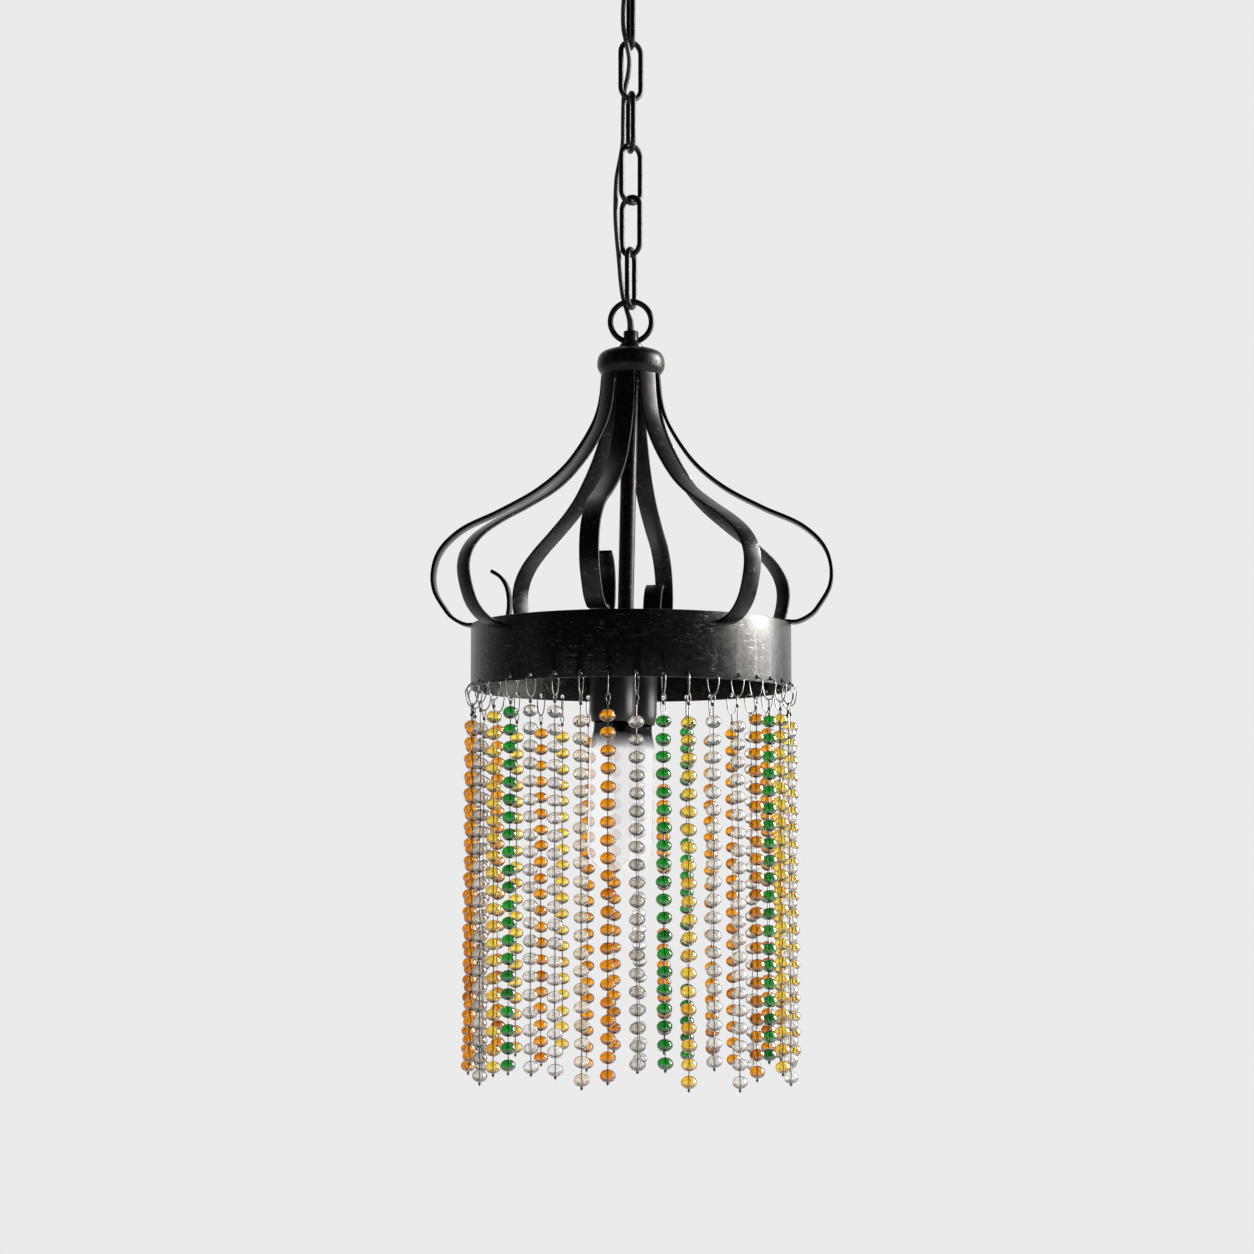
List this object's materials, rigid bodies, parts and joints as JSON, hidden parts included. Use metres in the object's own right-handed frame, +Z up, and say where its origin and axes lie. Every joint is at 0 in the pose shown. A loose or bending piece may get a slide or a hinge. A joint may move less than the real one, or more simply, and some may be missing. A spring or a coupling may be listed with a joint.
{
  "type": "beaded chandelier",
  "caption": "Ceiling chandelier: an onion-shaped cage of iron strips carries a drum band hung with strings of glass beads round clear lamps, under a link chain and canopy.",
  "frame": {"origin": "where the canopy axis meets the ceiling plane", "axes": "+Z up; -Y the front, the side the picture shows; +X to the right in it"},
  "size_m": [0.2779, 0.2753, 0.8116],
  "materials": {
    "iron": "dark iron with a worn, waxed black finish, scratched and silvery where it is rubbed",
    "cord": "black sheathed cord",
    "holder": "satin black lampholder shells",
    "lamp_glass": "clear thin glass",
    "glass_smoke": "clear smoky grey glass beads",
    "glass_green": "clear deep green glass beads",
    "glass_amber": "clear yellow amber glass beads",
    "glass_clear": "clear glass beads",
    "glass_champagne": "clear pale champagne glass beads",
    "glass_orange": "clear orange glass beads"
  },
  "bodies": {
    "ceiling": {"canopy": "iron", "ceiling_loop": "iron", "supply_cord": "cord"},
    "link_1": {"chain_link_1": "iron"},
    "link_2": {"chain_link_2": "iron"},
    "link_3": {"chain_link_3": "iron"},
    "link_4": {"chain_link_4": "iron"},
    "link_5": {"chain_link_5": "iron"},
    "link_6": {"chain_link_6": "iron"},
    "cage": {"hanging_loop": "iron", "cap": "iron", "cage_strip_1": "iron", "cage_strip_2": "iron", "cage_strip_3": "iron", "cage_strip_4": "iron", "cage_strip_5": "iron", "cage_strip_6": "iron", "cage_strip_7": "iron", "cage_strip_8": "iron", "band": "iron", "stem": "iron", "lampholders": "holder", "lamp_front": "lamp_glass", "lamp_rear": "lamp_glass"},
    "strand_01": {"bead_strand_01": "glass_smoke"},
    "strand_02": {"bead_strand_02": "glass_green"},
    "strand_03": {"bead_strand_03": "glass_amber"},
    "strand_04": {"bead_strand_04": "glass_clear"},
    "strand_05": {"bead_strand_05": "glass_clear"},
    "strand_06": {"bead_strand_06": "glass_orange"},
    "strand_07": {"bead_strand_07": "glass_green"},
    "strand_08": {"bead_strand_08": "glass_amber"},
    "strand_09": {"bead_strand_09": "glass_clear"},
    "strand_10": {"bead_strand_10": "glass_amber"},
    "strand_11": {"bead_strand_11": "glass_clear"},
    "strand_12": {"bead_strand_12": "glass_amber"},
    "strand_13": {"bead_strand_13": "glass_orange"},
    "strand_14": {"bead_strand_14": "glass_clear"},
    "strand_15": {"bead_strand_15": "glass_orange"},
    "strand_16": {"bead_strand_16": "glass_orange"},
    "strand_17": {"bead_strand_17": "glass_green"},
    "strand_18": {"bead_strand_18": "glass_orange"},
    "strand_19": {"bead_strand_19": "glass_clear"},
    "strand_20": {"bead_strand_20": "glass_orange"},
    "strand_21": {"bead_strand_21": "glass_orange"},
    "strand_22": {"bead_strand_22": "glass_amber"},
    "strand_23": {"bead_strand_23": "glass_orange"},
    "strand_24": {"bead_strand_24": "glass_amber"},
    "strand_25": {"bead_strand_25": "glass_orange"},
    "strand_26": {"bead_strand_26": "glass_smoke"},
    "strand_27": {"bead_strand_27": "glass_clear"},
    "strand_28": {"bead_strand_28": "glass_orange"},
    "strand_29": {"bead_strand_29": "glass_orange"},
    "strand_30": {"bead_strand_30": "glass_smoke"},
    "strand_31": {"bead_strand_31": "glass_amber"},
    "strand_32": {"bead_strand_32": "glass_green"},
    "strand_33": {"bead_strand_33": "glass_clear"},
    "strand_34": {"bead_strand_34": "glass_clear"},
    "strand_35": {"bead_strand_35": "glass_champagne"},
    "strand_36": {"bead_strand_36": "glass_orange"}
  },
  "joints": [
    {"name": "link_1_swing", "type": "hinge", "parent": "ceiling", "child": "link_1", "pos_m": [0, 0, -0.0535], "axis": [0.9397, 0.342, 0], "range_deg": [-20, 20], "deforming": ["supply_cord"]},
    {"name": "link_2_swing", "type": "hinge", "parent": "link_1", "child": "link_2", "pos_m": [0, 0, -0.0906], "axis": [-0.1736, 0.9848, 0], "range_deg": [-20, 20], "deforming": ["supply_cord"]},
    {"name": "link_3_swing", "type": "hinge", "parent": "link_2", "child": "link_3", "pos_m": [0, 0, -0.1278], "axis": [-0.866, -0.5, 0], "range_deg": [-20, 20], "deforming": ["supply_cord"]},
    {"name": "link_4_swing", "type": "hinge", "parent": "link_3", "child": "link_4", "pos_m": [0, 0, -0.165], "axis": [0.2079, -0.9781, 0], "range_deg": [-20, 20], "deforming": ["supply_cord"]},
    {"name": "link_5_swing", "type": "hinge", "parent": "link_4", "child": "link_5", "pos_m": [0, 0, -0.2022], "axis": [0.809, 0.5878, 0], "range_deg": [-20, 20], "deforming": ["supply_cord"]},
    {"name": "link_6_swing", "type": "hinge", "parent": "link_5", "child": "link_6", "pos_m": [0, 0, -0.2394], "axis": [-0.766, 0.6428, 0], "range_deg": [-20, 20], "deforming": ["supply_cord"]},
    {"name": "cage_swing", "type": "hinge", "parent": "link_6", "child": "cage", "pos_m": [0, 0, -0.2766], "axis": [-0.309, -0.9511, 0], "range_deg": [-20, 20], "deforming": ["supply_cord"]},
    {"name": "strand_01_swing", "type": "hinge", "parent": "cage", "child": "strand_01", "pos_m": [0.00343, -0.10915, -0.5411], "axis": [-0.9995, -0.0314, 0], "range_deg": [-8, 35]},
    {"name": "strand_02_swing", "type": "hinge", "parent": "cage", "child": "strand_02", "pos_m": [0.02084, -0.10719, -0.5411], "axis": [-0.9816, -0.1908, 0], "range_deg": [-8, 35]},
    {"name": "strand_03_swing", "type": "hinge", "parent": "cage", "child": "strand_03", "pos_m": [0.03735, -0.10261, -0.5411], "axis": [-0.9397, -0.342, 0], "range_deg": [-8, 35]},
    {"name": "strand_04_swing", "type": "hinge", "parent": "cage", "child": "strand_04", "pos_m": [0.05327, -0.09532, -0.5411], "axis": [-0.8729, -0.4879, 0], "range_deg": [-8, 35]},
    {"name": "strand_05_swing", "type": "hinge", "parent": "cage", "child": "strand_05", "pos_m": [0.06961, -0.08414, -0.5411], "axis": [-0.7705, -0.6374, 0], "range_deg": [-8, 35]},
    {"name": "strand_06_swing", "type": "hinge", "parent": "cage", "child": "strand_06", "pos_m": [0.08229, -0.07179, -0.5411], "axis": [-0.6574, -0.7536, 0], "range_deg": [-8, 35]},
    {"name": "strand_07_swing", "type": "hinge", "parent": "cage", "child": "strand_07", "pos_m": [0.09169, -0.05931, -0.5411], "axis": [-0.5432, -0.8396, 0], "range_deg": [-8, 35]},
    {"name": "strand_08_swing", "type": "hinge", "parent": "cage", "child": "strand_08", "pos_m": [0.10014, -0.04354, -0.5411], "axis": [-0.3987, -0.9171, 0], "range_deg": [-8, 35]},
    {"name": "strand_09_swing", "type": "hinge", "parent": "cage", "child": "strand_09", "pos_m": [0.10661, -0.02364, -0.5411], "axis": [-0.2164, -0.9763, 0], "range_deg": [-8, 35]},
    {"name": "strand_10_swing", "type": "hinge", "parent": "cage", "child": "strand_10", "pos_m": [0.10911, -0.00438, -0.5411], "axis": [-0.0401, -0.9992, 0], "range_deg": [-8, 35]},
    {"name": "strand_11_swing", "type": "hinge", "parent": "cage", "child": "strand_11", "pos_m": [0.10816, 0.01501, -0.5411], "axis": [0.1374, -0.9905, 0], "range_deg": [-8, 35]},
    {"name": "strand_12_swing", "type": "hinge", "parent": "cage", "child": "strand_12", "pos_m": [0.1038, 0.03393, -0.5411], "axis": [0.3107, -0.9505, 0], "range_deg": [-8, 35]},
    {"name": "strand_13_swing", "type": "hinge", "parent": "cage", "child": "strand_13", "pos_m": [0.09615, 0.05177, -0.5411], "axis": [0.4741, -0.8805, 0], "range_deg": [-8, 35]},
    {"name": "strand_14_swing", "type": "hinge", "parent": "cage", "child": "strand_14", "pos_m": [0.08546, 0.06798, -0.5411], "axis": [0.6225, -0.7826, 0], "range_deg": [-8, 35]},
    {"name": "strand_15_swing", "type": "hinge", "parent": "cage", "child": "strand_15", "pos_m": [0.0725, 0.08166, -0.5411], "axis": [0.7478, -0.6639, 0], "range_deg": [-8, 35]},
    {"name": "strand_16_swing", "type": "hinge", "parent": "cage", "child": "strand_16", "pos_m": [0.05722, 0.09301, -0.5411], "axis": [0.8517, -0.524, 0], "range_deg": [-8, 35]},
    {"name": "strand_17_swing", "type": "hinge", "parent": "cage", "child": "strand_17", "pos_m": [0.04038, 0.10146, -0.5411], "axis": [0.9291, -0.3697, 0], "range_deg": [-8, 35]},
    {"name": "strand_18_swing", "type": "hinge", "parent": "cage", "child": "strand_18", "pos_m": [0.02364, 0.10661, -0.5411], "axis": [0.9763, -0.2164, 0], "range_deg": [-8, 35]},
    {"name": "strand_19_swing", "type": "hinge", "parent": "cage", "child": "strand_19", "pos_m": [0.00572, 0.10905, -0.5411], "axis": [0.9986, -0.0523, 0], "range_deg": [-8, 35]},
    {"name": "strand_20_swing", "type": "hinge", "parent": "cage", "child": "strand_20", "pos_m": [-0.01179, 0.10856, -0.5411], "axis": [0.9942, 0.108, 0], "range_deg": [-8, 35]},
    {"name": "strand_21_swing", "type": "hinge", "parent": "cage", "child": "strand_21", "pos_m": [-0.03083, 0.10476, -0.5411], "axis": [0.9593, 0.2823, 0], "range_deg": [-8, 35]},
    {"name": "strand_22_swing", "type": "hinge", "parent": "cage", "child": "strand_22", "pos_m": [-0.04941, 0.09738, -0.5411], "axis": [0.8918, 0.4524, 0], "range_deg": [-8, 35]},
    {"name": "strand_23_swing", "type": "hinge", "parent": "cage", "child": "strand_23", "pos_m": [-0.06449, 0.08812, -0.5411], "axis": [0.807, 0.5906, 0], "range_deg": [-8, 35]},
    {"name": "strand_24_swing", "type": "hinge", "parent": "cage", "child": "strand_24", "pos_m": [-0.08115, 0.07307, -0.5411], "axis": [0.6691, 0.7431, 0], "range_deg": [-8, 35]},
    {"name": "strand_25_swing", "type": "hinge", "parent": "cage", "child": "strand_25", "pos_m": [-0.09399, 0.05559, -0.5411], "axis": [0.509, 0.8607, 0], "range_deg": [-8, 35]},
    {"name": "strand_26_swing", "type": "hinge", "parent": "cage", "child": "strand_26", "pos_m": [-0.10261, 0.03735, -0.5411], "axis": [0.342, 0.9397, 0], "range_deg": [-8, 35]},
    {"name": "strand_27_swing", "type": "hinge", "parent": "cage", "child": "strand_27", "pos_m": [-0.1077, 0.01802, -0.5411], "axis": [0.165, 0.9863, 0], "range_deg": [-8, 35]},
    {"name": "strand_28_swing", "type": "hinge", "parent": "cage", "child": "strand_28", "pos_m": [-0.10918, -0.00191, -0.5411], "axis": [-0.0175, 0.9998, 0], "range_deg": [-8, 35]},
    {"name": "strand_29_swing", "type": "hinge", "parent": "cage", "child": "strand_29", "pos_m": [-0.10705, -0.02158, -0.5411], "axis": [-0.1977, 0.9803, 0], "range_deg": [-8, 35]},
    {"name": "strand_30_swing", "type": "hinge", "parent": "cage", "child": "strand_30", "pos_m": [-0.10081, -0.04197, -0.5411], "axis": [-0.3843, 0.9232, 0], "range_deg": [-8, 35]},
    {"name": "strand_31_swing", "type": "hinge", "parent": "cage", "child": "strand_31", "pos_m": [-0.09095, -0.06043, -0.5411], "axis": [-0.5534, 0.8329, 0], "range_deg": [-8, 35]},
    {"name": "strand_32_swing", "type": "hinge", "parent": "cage", "child": "strand_32", "pos_m": [-0.07934, -0.07503, -0.5411], "axis": [-0.6871, 0.7266, 0], "range_deg": [-8, 35]},
    {"name": "strand_33_swing", "type": "hinge", "parent": "cage", "child": "strand_33", "pos_m": [-0.06587, -0.0871, -0.5411], "axis": [-0.7976, 0.6032, 0], "range_deg": [-8, 35]},
    {"name": "strand_34_swing", "type": "hinge", "parent": "cage", "child": "strand_34", "pos_m": [-0.04958, -0.0973, -0.5411], "axis": [-0.891, 0.454, 0], "range_deg": [-8, 35]},
    {"name": "strand_35_swing", "type": "hinge", "parent": "cage", "child": "strand_35", "pos_m": [-0.03266, -0.1042, -0.5411], "axis": [-0.9542, 0.299, 0], "range_deg": [-8, 35]},
    {"name": "strand_36_swing", "type": "hinge", "parent": "cage", "child": "strand_36", "pos_m": [-0.01501, -0.10816, -0.5411], "axis": [-0.9905, 0.1374, 0], "range_deg": [-8, 35]}
  ]
}
